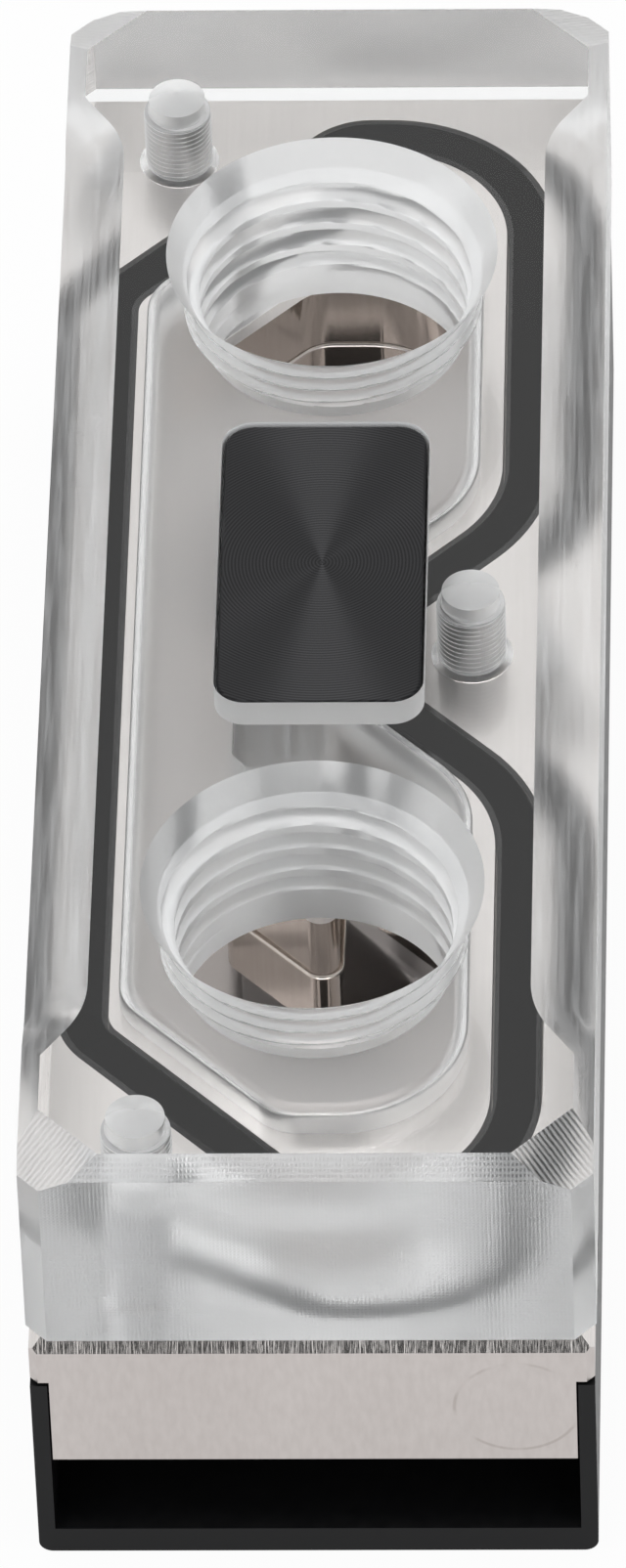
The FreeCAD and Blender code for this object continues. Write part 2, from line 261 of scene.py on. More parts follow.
def seal_outline():
    """The seal's centre line, round the chamber and inside the middle screw."""
    end = -HALF_LENGTH + SEAL_END_GAP
    shoulder = -SEAL_WAIST_HALF - SEAL_RIGHT + SEAL_WAIST
    return rounded(mirrored([
        (SEAL_WAIST, -SEAL_WAIST_HALF, SEAL_BEND_RADIUS),
        (SEAL_RIGHT, shoulder, SEAL_SHOULDER_RADIUS),
        (SEAL_RIGHT, end, SEAL_CORNER_RADIUS),
        (-SEAL_LEFT + SEAL_CORNER_CUT, end, SEAL_BEND_RADIUS),
        (-SEAL_LEFT, end + SEAL_CORNER_CUT, SEAL_BEND_RADIUS),
    ]), step=4.0)


def island_outline():
    """The flow divider in the tub."""
    nose_left = DIVIDER_RIGHT - DIVIDER_NOSE_WIDTH
    return rounded(mirrored([
        (DIVIDER_RIGHT, -DIVIDER_HALF_LENGTH, DIVIDER_NOSE_RADIUS),
        (nose_left, -DIVIDER_HALF_LENGTH, DIVIDER_NOSE_RADIUS),
        (-DIVIDER_LEFT, -DIVIDER_HALF_LENGTH + DIVIDER_LEFT + nose_left, DIVIDER_BEND_RADIUS),
    ]), step=6.0)


def pocket_outline():
    """The inlay plate's outline with its gap."""
    half_x = inlay_high.x + INLAY_GAP
    half_y = inlay_high.y + INLAY_GAP
    radius = INLAY_CORNER_RADIUS + INLAY_GAP
    return rounded([(half_x, -half_y, radius), (half_x, half_y, radius),
                    (-half_x, half_y, radius), (-half_x, -half_y, radius)], step=6.0)


# ------------------------------------------------------------------ mesh building
def linked(name, data):
    """A new object in the scene."""
    obj = bpy.data.objects.new(name, data)
    scene.collection.objects.link(obj)
    return obj


def loft(name, rings, closed=False):
    """Faces between rings of as many points; the first and last ring are capped, or joined up."""
    faces = []
    size = len(rings[0])
    bands = len(rings) if closed else len(rings) - 1
    for i in range(bands):
        low = i * size
        high = ((i + 1) % len(rings)) * size
        for k in range(size):
            after = (k + 1) % size
            faces.append((low + k, low + after, high + after, high + k))
    if not closed:
        faces.append(tuple(reversed(range(size))))
        faces.append(tuple(range((len(rings) - 1) * size, len(rings) * size)))
    mesh = bpy.data.meshes.new(name)
    mesh.from_pydata([Vector(point) * MM for ring in rings for point in ring], [], faces)
    mesh.validate()
    return linked(name, mesh)


def prism(name, outline, offset, low_z, high_z):
    """An upright solid on an outline that is moved outward by an offset."""
    return loft(name, [level(outline, offset, low_z), level(outline, offset, high_z)])


def circle(centre, radii, z):
    """Level points round a centre, evenly turned, one for each radius."""
    points = []
    for k, radius in enumerate(radii):
        angle = 2 * math.pi * k / len(radii)
        points.append((centre.x + radius * math.cos(angle), centre.y + radius * math.sin(angle), z))
    return points


def lathe(name, centre, profile, segments):
    """A solid of revolution from a (radius, z) profile that runs upward; its ends are flat caps."""
    return loft(name, [circle(centre, [radius] * segments, z) for radius, z in profile])


def threaded(name, centre, levels, segments, radius_at):
    """A column whose radius depends on its height and on the turn, from 0 to 1."""
    rings = []
    for z in levels:
        radii = [radius_at(z, k / segments) for k in range(segments)]
        rings.append(circle(centre, radii, z))
    return loft(name, rings)


def spaced(low, rise, step):
    """Heights over a rise from low, evenly spaced and at most a step apart."""
    count = math.ceil(rise / step)
    return [low + rise * k / count for k in range(count + 1)]


def quarter(steps):
    """A quarter arc of radius 1 between two faces: its distances from the corner along both."""
    arc = []
    for k in range(steps + 1):
        angle = math.radians(90) * k / steps
        arc.append((1 - math.cos(angle), 1 - math.sin(angle)))
    return arc


def clamped(value):
    """The value, held between 0 and 1."""
    return min(max(value, 0.0), 1.0)


def thread_wave(phase):
    """Height of a rounded 55 to 60 degree thread over one pitch, 0 at the crest and 1 at the root."""
    side = abs((phase % 1.0) * 2 - 1)
    ramp = clamped((side - THREAD_FLAT) / (1 - 2 * THREAD_FLAT))
    smooth = ramp * ramp * (3 - 2 * ramp)
    return smooth * THREAD_ROUNDING + ramp * (1 - THREAD_ROUNDING)


def dress(piece, materials):
    """Gives a piece its materials."""
    piece.data.materials.clear()
    for made in materials:
        piece.data.materials.append(made)


def fill(body, materials, slot):
    """Gives a body its materials and puts all its faces in one slot."""
    dress(body, materials)
    for face in body.data.polygons:
        face.material_index = slot


def cut(body, cutter, slot=None):
    """Takes the cutter away from the body. The new faces carry the cutter's material index."""
    if slot is not None:
        fill(cutter, body.data.materials, slot)
    modifier = body.modifiers.new("cut", "BOOLEAN")
    modifier.operation = "DIFFERENCE"
    modifier.solver = "MANIFOLD"
    modifier.material_mode = "INDEX"
    modifier.object = cutter
    depsgraph = bpy.context.evaluated_depsgraph_get()
    mesh = bpy.data.meshes.new_from_object(body.evaluated_get(depsgraph))
    body.modifiers.clear()
    old = body.data
    body.data = mesh
    bpy.data.meshes.remove(old)
    bpy.data.objects.remove(cutter)


def sharpen_material_edges(mesh):
    """Makes each edge between two materials sharp."""
    work = bmesh.new()
    work.from_mesh(mesh)
    for edge in work.edges:
        if len({face.material_index for face in edge.link_faces}) > 1:
            edge.smooth = False
    work.to_mesh(mesh)
    work.free()


def finish_mesh(body, angle=SHARP_ANGLE):
    """Smooth shading with sharp edges, and flat faces that stay flat beside rounded ones."""
    mesh = body.data
    work = bmesh.new()
    work.from_mesh(mesh)
    bmesh.ops.dissolve_degenerate(work, dist=1e-8, edges=work.edges)
    bmesh.ops.recalc_face_normals(work, faces=work.faces)
    work.to_mesh(mesh)
    work.free()
    mesh.shade_smooth()
    mesh.set_sharp_from_angle(angle=math.radians(angle))
    weighted = body.modifiers.new("weighted", "WEIGHTED_NORMAL")
    weighted.keep_sharp = True
    weighted.mode = "FACE_AREA"


def place(piece, node):
    """Puts a piece in the place of a CAD node: hides the node and hangs the piece under the root body."""
    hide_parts(node)
    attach(piece, "root")


def slice_off(work, point, normal):
    """Cuts a convex body by a plane and keeps what lies behind it."""
    geometry = work.verts[:] + work.edges[:] + work.faces[:]
    made = bmesh.ops.bisect_plane(work, geom=geometry, plane_co=point, plane_no=normal,
                                  clear_outer=True, dist=1e-9)
    edges = [item for item in made["geom_cut"] if isinstance(item, bmesh.types.BMEdge)]
    if edges:
        bmesh.ops.contextual_create(work, geom=edges)


def block(name, half_x, half_y, low_z, high_z, planes, materials):
    """A box with planes cut off it: (point, normal) in millimetres."""
    work = bmesh.new()
    bmesh.ops.create_cube(work, size=1.0)
    for vert in work.verts:
        vert.co = Vector((vert.co.x * 2 * half_x, vert.co.y * 2 * half_y,
                          low_z + (vert.co.z + 0.5) * (high_z - low_z)))
    for point, normal in planes:
        slice_off(work, Vector(point), Vector(normal).normalized())
    for vert in work.verts:
        vert.co *= MM
    bmesh.ops.recalc_face_normals(work, faces=work.faces)
    mesh = bpy.data.meshes.new(name)
    work.to_mesh(mesh)
    work.free()
    body = linked(name, mesh)
    dress(body, materials)
    return body


def corner_planes(half_x, half_y, corner_break):
    """A 45 degree chamfer on each upright corner."""
    return [((x * (half_x - corner_break / 2), y * (half_y - corner_break / 2), 0), (x, y, 0))
            for x in (1, -1) for y in (1, -1)]


def top_edge_planes(half_x, half_y, z, size):
    """A 45 degree chamfer on each edge of the top face."""
    return [((x * (half_x - size), y * (half_y - size), z), (x, y, 1))
            for x, y in ((1, 0), (-1, 0), (0, 1), (0, -1))]


# ------------------------------------------------------------------ clear terminal
POLISHED, MILLED, THREAD, CHAMBER, POCKET, HOLE, REAR, MOUTH, FACET, RIB, FRONT = range(11)


def facet_planes():
    """The terminal's corner facets."""
    slope = math.radians(CUTTER_SLOPE)
    sideways = math.sin(slope) / math.sqrt(2)
    planes = []
    for x in (1, -1):
        for y in (1, -1):
            point = (x * (TOP_HALF - CORNER_FACET / 2), y * (HALF_LENGTH - CORNER_FACET / 2), TOP_Z)
            planes.append((point, (x * sideways, y * sideways, math.cos(slope))))
    return planes


def terminal_slot(normal):
    """The slot of an outer face of the terminal's block, by the way that it faces."""
    if abs(normal.z) > 0.999:
        return POLISHED
    if normal.y > 0.9:
        return REAR
    if normal.y < -0.6 and abs(normal.x) < 0.1:
        return FRONT
    return FACET if 0.8 < normal.z < 0.9 else MILLED


def side_bevel(side):
    """What a slanted cutter takes off along a side, with a curved run-out at each end."""
    spread = 1 / math.tan(math.radians(CUTTER_SLOPE))
    turn = math.radians(BEVEL_RUNOUT_TURN)
    centre_x = TOP_HALF - BEVEL_WIDTH + BEVEL_RUNOUT_RADIUS
    rings = []
    for height in BEVEL_CUTTER:
        radius = BEVEL_RUNOUT_RADIUS + height * spread
        ring = []
        for end in (-1, 1):
            centre_y = end * (HALF_LENGTH - BEVEL_END_GAP)
            arc = []
            for k in range(BEVEL_RUNOUT_STEPS + 1):
                angle = turn * k / BEVEL_RUNOUT_STEPS
                x = centre_x - radius * math.cos(angle)
                arc.append((x, centre_y + end * radius * math.sin(angle)))
            x, y = arc[-1]
            run = (2 * TOP_HALF - x) / math.sin(turn)
            arc.append((x + run * math.sin(turn), y + end * run * math.cos(turn)))
            ring += arc[::-1] if end < 0 else arc
        rings.append([(side * x, y, TOP_Z + height) for x, y in ring])
    if side > 0:
        rings = [ring[::-1] for ring in rings]
    return loft("bevel", rings)


def water_chamber(materials):
    """The chamber with its rounded roof, less the rib that comes down on the flow divider."""
    outline = chamber_outline()
    rings = [level(outline, 0, JOINT_Z - OVERCUT / 2)]
    for inward, down in quarter(8):
        z = ROOF_Z - CHAMBER_ROOF_RADIUS * down
        rings.append(level(outline, -CHAMBER_ROOF_RADIUS * inward, z))
    chamber = loft("chamber", rings)
    fill(chamber, materials, CHAMBER)
    rib = prism("rib", island_outline(), -TUB_INSET, JOINT_Z - OVERCUT, ROOF_Z + OVERCUT)
    cut(chamber, rib, CHAMBER)
    return chamber


def port_radius(z, turn):
    """The port's radius: mouth, drilled bore or thread, whichever is the widest."""
    depth = TOP_Z - z
    cone = PORT_MOUTH_RADIUS - depth * math.tan(math.radians(PORT_MOUTH_ANGLE))
    lead = clamped((PORT_THREAD_DEPTH + PORT_THREAD_RUNOUT - depth) / (PORT_THREAD_FADE * PORT_PITCH))
    wave = thread_wave(z / PORT_PITCH - turn)
    groove = PORT_MINOR_RADIUS + (PORT_MAJOR_RADIUS - PORT_MINOR_RADIUS) * wave
    groove -= (1 - lead) * (PORT_MAJOR_RADIUS - PORT_MINOR_RADIUS)
    return max(cone, PORT_DRILL_RADIUS, groove)


def port_cutter(centre, materials):
    """A G1/4 port, from its mouth down through the chamber's roof."""
    low = TOP_Z - PORT_THREAD_DEPTH - PORT_PITCH
    levels = [ROOF_Z - OVERCUT] + spaced(low, TOP_Z - low, PORT_PITCH / PORT_LEVELS_PER_PITCH)
    port = threaded("port", centre, levels + [TOP_Z + MOUTH_OVERCUT], PORT_SEGMENTS, port_radius)
    fill(port, materials, THREAD)
    for face in port.data.polygons:
        if face.center.z > (TOP_Z - PORT_CONE_DEPTH) * MM:
            face.material_index = MOUTH
    return port


def tapped_radius(z, turn):
    """An M3 hole's radius: countersink, drilled bore or thread, and the drill's point above."""
    height = z - JOINT_Z
    if height > M3_DRILLED_DEPTH:
        return M3_DRILL_RADIUS * (1 - (height - M3_DRILLED_DEPTH) / M3_POINT_RISE)
    sink = M3_COUNTERSINK_RADIUS - max(height, -SINK_OVERCUT)
    lead = clamped((M3_TAPPED_DEPTH - height) / M3_PITCH)
    wave = thread_wave(z / M3_PITCH - turn)
    groove = M3_MINOR_RADIUS + (M3_MAJOR_RADIUS - M3_MINOR_RADIUS) * wave * lead
    return max(sink, M3_DRILL_RADIUS, groove)


def tapped_cutter(centre, materials):
    """A blind M3 hole in the terminal's underside."""
    levels = [JOINT_Z - OVERCUT / 2]
    levels += spaced(JOINT_Z, M3_TAPPED_DEPTH, M3_PITCH / M3_LEVELS_PER_PITCH)
    levels += [JOINT_Z + M3_TAPPED_DEPTH + M3_RELIEF, JOINT_Z + M3_DRILLED_DEPTH,
               JOINT_Z + M3_DRILLED_DEPTH + DRILL_TIP * M3_POINT_RISE]
    tapped = threaded("tapped", centre, levels, M3_SEGMENTS, tapped_radius)
    fill(tapped, materials, HOLE)
    for face in tapped.data.polygons:
        if face.center.z < (JOINT_Z + M3_COUNTERSINK_RADIUS - M3_MAJOR_RADIUS) * MM:
            face.material_index = MILLED
    return tapped


def make_terminal(materials):
    """The acrylic block with its bevels, chamber, ports, M3 holes and the inlay's pocket."""
    planes = corner_planes(TOP_HALF, HALF_LENGTH, TOP_CORNER_BREAK)
    planes += top_edge_planes(TOP_HALF, HALF_LENGTH, TOP_Z, TOP_EDGE_BREAK) + facet_planes()
    body = block("clear_terminal_detail", TOP_HALF, HALF_LENGTH, UNDERSIDE_Z, TOP_Z, planes,
                 materials)
    for face in body.data.polygons:
        face.material_index = terminal_slot(face.normal)
    for side in (1, -1):
        cut(body, side_bevel(side), MILLED)
    cut(body, water_chamber(materials))
    rib_face = prism("rib_face", island_outline(), -TUB_INSET, JOINT_Z - OVERCUT, UNDERSIDE_Z + SKIN)
    cut(body, rib_face, RIB)
    for centre in port_places:
        cut(body, port_cutter(centre, materials))
    for centre in M3_PLACES:
        cut(body, tapped_cutter(centre, materials))
    cut(body, prism("pocket", pocket_outline(), 0, inlay_low.z, TOP_Z + OVERCUT), POCKET)
    finish_mesh(body)
    sharpen_material_edges(body.data)
    return body


# ------------------------------------------------------------------ cold plate
SATIN, TUB_WALL, TUB_FLOOR, GROOVE, BREAK, JOINT, ISLAND = range(7)


def plate_slot(normal):
    """The slot of an outer face of the cold plate's block, by the way that it faces: faces turned up get
    the nickel copies with painted light.
    """
    if normal.z > 0.99:
        return JOINT
    return BREAK if normal.z > 0.1 else SATIN


def heel_side(side):
    """What is taken off beside the heel, which goes down between the tray's walls."""
    near, far = sorted((side * HEEL_HALF, side * (METAL_HALF + OVERCUT)))
    reach = HALF_LENGTH + OVERCUT
    base = [(near, -reach), (far, -reach), (far, reach), (near, reach)]
    return loft("heel", [[(x, y, z) for x, y in base] for z in (CONTACT_Z - OVERCUT, FLANGE_Z)])


def flow_divider():
    """The island that is left standing in the tub, with a rounded foot."""
    outline = island_outline()
    rings = [level(outline, TUB_FLOOR_RADIUS, TUB_FLOOR_Z - OVERCUT)]
    for up, outward in quarter(4):
        rings.append(level(outline, TUB_FLOOR_RADIUS * outward, TUB_FLOOR_Z + TUB_FLOOR_RADIUS * up))
    return loft("divider", rings + [level(outline, 0, JOINT_Z + OVERCUT)])


def tub_cutter(materials):
    """The tub with its rounded floor edge, less the flow divider."""
    outline = chamber_outline()
    rings = []
    for up, inward in quarter(6):
        inset = TUB_INSET + TUB_FLOOR_RADIUS * inward
        rings.append(level(outline, -inset, TUB_FLOOR_Z + TUB_FLOOR_RADIUS * up))
    rings.append(level(outline, -TUB_INSET, JOINT_Z + OVERCUT))
    tub = loft("tub", rings)
    fill(tub, materials, TUB_WALL)
    floor_top = (TUB_FLOOR_Z + TUB_FLOOR_RADIUS / 4) * MM
    for face in tub.data.polygons:
        if face.normal.z < -0.95 or face.center.z < floor_top:
            face.material_index = TUB_FLOOR
    cut(tub, flow_divider(), TUB_WALL)
    return tub


def seal_groove():
    """The groove round the chamber: the seal's path with a gap at each side."""
    path = seal_outline()
    half = SEAL_WIDTH / 2 + SEAL_SIDE_GAP
    low, high = JOINT_Z - SEAL_HEIGHT, JOINT_Z + OVERCUT
    section = [(-half, low), (half, low), (half, high), (-half, high)]
    return loft("groove", [level(path, offset, z) for offset, z in section], closed=True)


def screw_hole(centre):
    """The head's pocket from below, the shank's hole and its broken edge at the joint face."""
    pocket_z = CONTACT_Z + M3_POCKET_DEPTH
    edge_radius = M3_SHANK_HOLE_RADIUS + M3_HOLE_BREAK
    return lathe("hole", centre, [
        (M3_POCKET_RADIUS, CONTACT_Z - OVERCUT),
        (M3_POCKET_RADIUS, pocket_z),
        (M3_SHANK_HOLE_RADIUS, pocket_z + LEDGE),
        (M3_SHANK_HOLE_RADIUS, JOINT_Z - M3_HOLE_BREAK),
        (edge_radius, JOINT_Z + LEDGE),
        (edge_radius, JOINT_Z + OVERCUT),
    ], M3_HOLE_SEGMENTS)


def make_cold_plate(materials):
    """The plate with its heel, tub, seal groove and screw holes."""
    planes = corner_planes(METAL_HALF, HALF_LENGTH, FLANGE_CORNER_BREAK)
    planes += top_edge_planes(METAL_HALF, HALF_LENGTH, JOINT_Z, FLANGE_EDGE_BREAK)
    body = block("cold_plate_detail", METAL_HALF, HALF_LENGTH, CONTACT_Z, JOINT_Z, planes, materials)
    for face in body.data.polygons:
        face.material_index = plate_slot(face.normal)
    for side in (1, -1):
        cut(body, heel_side(side), SATIN)
    cut(body, tub_cutter(materials))
    cut(body, seal_groove(), GROOVE)
    for centre in M3_PLACES:
        cut(body, screw_hole(centre), GROOVE)
    # The divider's top gets its own, whiter nickel: painted light.
    cut(body, prism("island_face", island_outline(), 0, JOINT_Z - SKIN, JOINT_Z + OVERCUT), ISLAND)
    finish_mesh(body)
    return body


# ------------------------------------------------------------------ seal
def make_seal():
    """The cord as it lies pressed into its groove: flat on the terminal, with rounded shoulders."""
    half = SEAL_WIDTH / 2
    shoulder = half - SEAL_CONTACT / 2
    bottom = JOINT_Z - SEAL_HEIGHT
    top = UNDERSIDE_Z + SEAL_PRESS
    foot_width, foot_height = SEAL_FOOT_BREAK
    section = [(-half + foot_width, bottom), (half - foot_width, bottom), (half, bottom + foot_height)]
    for inward, down in quarter(6):
        section.append((half - shoulder * inward, top - SEAL_SHOULDER_HEIGHT * down))
    section += [(-offset, z) for offset, z in section[:1:-1]]
    path = seal_outline()
    body = loft("seal_cord", [level(path, offset, z) for offset, z in section], closed=True)
    finish_mesh(body, angle=40.0)
    return body


# ------------------------------------------------------------------ shader nodes
def feed(node, inputs):
    """Sets a shader node's inputs, each to a value or to the socket that feeds it."""
    for key, value in inputs.items():
        if isinstance(value, bpy.types.NodeSocket):
            node.id_data.links.new(value, node.inputs[key])
        else:
            node.inputs[key].default_value = value


def add(tree, kind, inputs=None, **settings):
    """A new shader node with its inputs and settings."""
    node = tree.nodes.new(kind)
    for key, value in settings.items():
        setattr(node, key, value)
    feed(node, inputs or {})
    return node


def math_node(tree, operation, *values, **settings):
    """The result of a sum on numbers or sockets."""
    inputs = dict(enumerate(values))
    return add(tree, "ShaderNodeMath", inputs, operation=operation, **settings).outputs[0]


def vector_node(tree, operation, *values, output="Vector"):
    """The result of a sum on vectors or sockets."""
    inputs = dict(enumerate(values))
    return add(tree, "ShaderNodeVectorMath", inputs, operation=operation).outputs[output]


def noise(tree, position, scale, detail):
    """A noise; its scale is per millimetre."""
    inputs = {"Vector": position, "Scale": scale / MM, "Detail": detail, "Roughness": 0.5}
    return add(tree, "ShaderNodeTexNoise", inputs).outputs["Fac"]


def stretched_noise(tree, position, scale, detail):
    """A noise with its own scale along X, Y and Z, per millimetre."""
    stretched = add(tree, "ShaderNodeMapping", {"Vector": position, "Scale": scale})
    return noise(tree, stretched.outputs[0], 1.0, detail)


def ranged(tree, value, low, high, to_low, to_high):
    """The value, moved from one range to another and held within it."""
    return add(tree, "ShaderNodeMapRange", {"Value": value, "From Min": low, "From Max": high,
                                            "To Min": to_low, "To Max": to_high}).outputs["Result"]


def blended(tree, factor, low, high):
    """A blend of two colours or sockets."""
    mix = add(tree, "ShaderNodeMix", {"Factor": factor}, data_type="RGBA")
    for key, colour in (("A", low), ("B", high)):
        socket = [item for item in mix.inputs if item.name == key and item.type == "RGBA"][0]
        if isinstance(colour, bpy.types.NodeSocket):
            tree.links.new(colour, socket)
        else:
            socket.default_value = (*colour, 1)
    return [item for item in mix.outputs if item.type == "RGBA"][0]


def bump(tree, height, strength, distance, normal=None):
    """A relief, `distance` millimetres deep at full strength, on top of another if one is given."""
    inputs = {"Height": height, "Strength": strength, "Distance": distance * MM}
    if normal is not None:
        inputs["Normal"] = normal
    return add(tree, "ShaderNodeBump", inputs).outputs["Normal"]


def waves(tree, position, pitch, distortion, **settings):
    """Even ridges, `pitch` apart; the wave texture repeats each pi / 10 of its coordinate."""
    inputs = {"Vector": position, "Scale": math.pi / 10 / (pitch * MM), "Distortion": distortion,
              "Detail": 2.0, "Detail Scale": 0.8}
    return add(tree, "ShaderNodeTexWave", inputs, wave_profile="SIN", **settings).outputs["Fac"]


def corner_ridges(tree, position, pitch):
    """What an end mill leaves as it runs down a corner facet, the same on all four corners."""
    from_middle = vector_node(tree, "ABSOLUTE", position)
    turned = add(tree, "ShaderNodeMapping", {"Vector": from_middle, "Rotation": (0, 0, math.radians(45))})
    return waves(tree, turned.outputs[0], pitch, 1.6, bands_direction="X")


def end_hatch(tree, position, pitch):
    """What an end mill leaves on an end face: fine lines across and down."""
    across = waves(tree, position, pitch, 1.0, bands_direction="Z")
    down = waves(tree, position, pitch, 1.0, bands_direction="X")
    return math_node(tree, "MAXIMUM", across, down)


def tool_marks(tree, position, lines):
    """Fine lines left by a tool, and their relief: (scale along X, Y and Z per millimetre, depth)."""
    marks = None
    normal = None
    for scale, depth in lines:
        one = stretched_noise(tree, position, scale, 2.0)
        normal = bump(tree, one, 0.5, depth, normal)
        marks = math_node(tree, "MAXIMUM", marks, one) if marks else one
    return marks, normal


def specks(tree, position, pitch, size, share):
    """Dust or small pits: in `share` of the cells, `pitch` wide, one spot of that size."""
    cells = add(tree, "ShaderNodeTexVoronoi", {"Vector": position, "Scale": 1.0 / (pitch * MM)})
    near = ranged(tree, cells.outputs["Distance"], 0.3 * size / pitch, 0.5 * size / pitch, 1.0, 0.0)
    chosen = math_node(tree, "GREATER_THAN", cells.outputs["Color"], 1.0 - share)
    return math_node(tree, "MULTIPLY", near, chosen)


def ring_mark(tree, position, centre, radius, width):
    """A worn and broken ring on the front face, as a round foot that stood there leaves it.

    The centre is X and Z in millimetres.
    """
    flat = vector_node(tree, "MULTIPLY", position, (1, 0, 1))
    middle = (centre[0] * MM, 0, centre[1] * MM)
    away = vector_node(tree, "DISTANCE", flat, middle, output="Value")
    off = math_node(tree, "ABSOLUTE", math_node(tree, "SUBTRACT", away, radius * MM))
    line = ranged(tree, off, 0.2 * width * MM, 0.5 * width * MM, 1.0, 0.0)
    broken = ranged(tree, noise(tree, position, 0.5, 3.0), 0.42, 0.56, 0.0, 1.0)
    depth = add(tree, "ShaderNodeSeparateXYZ", {"Vector": position}).outputs["Y"]
    front = math_node(tree, "LESS_THAN", depth, 0.0)
    return math_node(tree, "MULTIPLY", math_node(tree, "MULTIPLY", line, broken), front)


# ------------------------------------------------------------------ materials
PITS = {"pitch": 1.6, "size": 0.16, "share": 0.16}
PIT_COLOUR = (0.26, 0.22, 0.20)
RING = {"centre": (8.6, 9.05), "radius": 2.65, "width": 0.20}
RING_STRENGTH = 0.30
RING_COLOUR = (0.26, 0.21, 0.18)
DUST = {"pitch": 1.1, "size": 0.10}
DUST_COLOUR = (0.35, 0.35, 0.34)


def node_material(name):
    """A new material with nodes."""
    made = bpy.data.materials.new(name)
    made.use_nodes = True
    return made


def new_material(name, inputs):
    """A material with its node tree, its shader and the position in the part's frame."""
    made = node_material(name)
    tree = made.node_tree
    shader = tree.nodes["Principled BSDF"]
    feed(shader, inputs)
    position = add(tree, "ShaderNodeTexCoord").outputs["Object"]
    return made, tree, shader, position


def acrylic(name, roughness, frost, streak=0.0, lines=(), ridges=None):
    """Clear acrylic.

    `frost` is the share of light that a milled surface scatters back, and `streak` is how much
    more of it the tool's marks scatter. These are uneven `lines`, or even `ridges` of a pattern,
    a pitch and a depth.
    """
    clear = 1.0 - frost
    made, tree, shader, position = new_material(name, {"Transmission Weight": clear, "IOR": 1.49})
    haze = noise(tree, position, 1.0, 3.0)
    spread = min(0.02, roughness / 2)
    feed(shader, {
        "Roughness": ranged(tree, haze, 0.3, 0.7, roughness - spread, roughness + spread),
        "Base Color": blended(tree, haze, (0.975, 0.98, 0.98), (1.0, 1.0, 1.0)),
    })
    if lines:
        marks, normal = tool_marks(tree, position, lines)
        low, high = 0.45, 0.70
    if ridges:
        pattern, pitch, depth = ridges
        marks = pattern(tree, position, pitch)
        normal = bump(tree, marks, 0.5, depth)
        low, high = 0.2, 0.8
    if lines or ridges:
        feed(shader, {"Normal": normal})
    if streak:
        feed(shader, {"Transmission Weight": ranged(tree, marks, low, high, clear, clear - streak)})
    return made


def nickel(name, colour, tint, roughness, scale, depth, metal=1.0, worn=False):
    """Nickel plating.

    `scale` stretches its grain along X, Y and Z, per millimetre, and `depth` is the grain's relief.
    Where `worn`, it has small pits and a ring mark.
    """
    made, tree, shader, position = new_material(name, {"Metallic": metal})
    marks = stretched_noise(tree, position, scale, 3.0)
    patches = noise(tree, position, 0.12, 2.0)
    grain = ranged(tree, marks, 0.3, 0.7, -0.25, 0.25)
    patches = math_node(tree, "ADD", patches, grain, use_clamp=True)
    plated = blended(tree, patches, colour, tint)
    if worn:
        plated = blended(tree, specks(tree, position, **PITS), plated, PIT_COLOUR)
        mark = math_node(tree, "MULTIPLY", ring_mark(tree, position, **RING), RING_STRENGTH)
        plated = blended(tree, mark, plated, RING_COLOUR)
    feed(shader, {
        "Base Color": plated,
        "Roughness": ranged(tree, marks, 0.3, 0.7, roughness * 0.9, roughness * 1.1),
        "Normal": bump(tree, marks, 0.4, depth),
    })
    return made


def painted(name, colour, tint, roughness, grain, gloss=0.5, dust=0.0):
    """A black, matt surface; `gloss` is its specular level, `dust` the share of cells with a speck."""
    inputs = {"Metallic": 0.0, "Specular IOR Level": gloss}
    made, tree, shader, position = new_material(name, inputs)
    patches = noise(tree, position, grain, 3.0)
    coated = blended(tree, patches, colour, tint)
    if dust:
        coated = blended(tree, specks(tree, position, share=dust, **DUST), coated, DUST_COLOUR)
    feed(shader, {
        "Base Color": coated,
        "Roughness": ranged(tree, patches, 0.3, 0.7, roughness * 0.85, roughness * 1.15),
    })
    return made


def spun_black(name):
    """Black plate with concentric brushing: fine rings, and gloss that is spread outward."""
    inputs = {"Metallic": 0.7, "Roughness": 0.40, "Anisotropic": 1.0}
    made, tree, shader, position = new_material(name, inputs)
    rings = vector_node(tree, "MULTIPLY", position, (1, 1, 0))
    grooves = waves(tree, rings, 0.15, 0.0, wave_type="RINGS", rings_direction="SPHERICAL")
    feed(shader, {
        "Base Color": blended(tree, grooves, (0.013, 0.013, 0.014), (0.034, 0.034, 0.036)),
        "Normal": bump(tree, grooves, 0.5, 0.004),
        "Tangent": vector_node(tree, "NORMALIZE", rings),
    })
    return made


terminal = make_terminal([
    acrylic("acrylic_polished", roughness=0.006, frost=0.0),
    acrylic("acrylic_milled", roughness=0.31, frost=0.05, streak=0.12,
            lines=[((6.0, 0.12, 0.25), 0.006), ((0.2, 0.2, 6.0), 0.006)]),
    acrylic("acrylic_thread", roughness=0.31, frost=0.42, lines=[((0.4, 0.4, 9.0), 0.006)]),
    acrylic("acrylic_chamber", roughness=0.31, frost=0.28, lines=[((3.0, 3.0, 6.0), 0.004)]),
    acrylic("acrylic_pocket", roughness=0.45, frost=0.90, lines=[((3.0, 3.0, 6.0), 0.004)]),
    acrylic("acrylic_tapped", roughness=0.31, frost=0.62, lines=[((1.0, 1.0, 8.0), 0.004)]),
    acrylic("acrylic_rear", roughness=0.55, frost=0.0,
            lines=[((7.0, 0.25, 0.25), 0.008), ((0.2, 0.2, 7.0), 0.004)]),
    acrylic("acrylic_mouth", roughness=0.31, frost=0.18, lines=[((5.0, 5.0, 0.5), 0.010)]),
    acrylic("acrylic_facet", roughness=0.31, frost=0.0, streak=0.20, ridges=(corner_ridges, 0.24, 0.02)),
    acrylic("acrylic_rib", roughness=0.31, frost=0.35, streak=0.45, lines=[((2.2, 0.05, 0.2), 0.010)]),
    acrylic("acrylic_front", roughness=0.31, frost=0.05, streak=0.22, ridges=(end_hatch, 0.17, 0.014)),
])
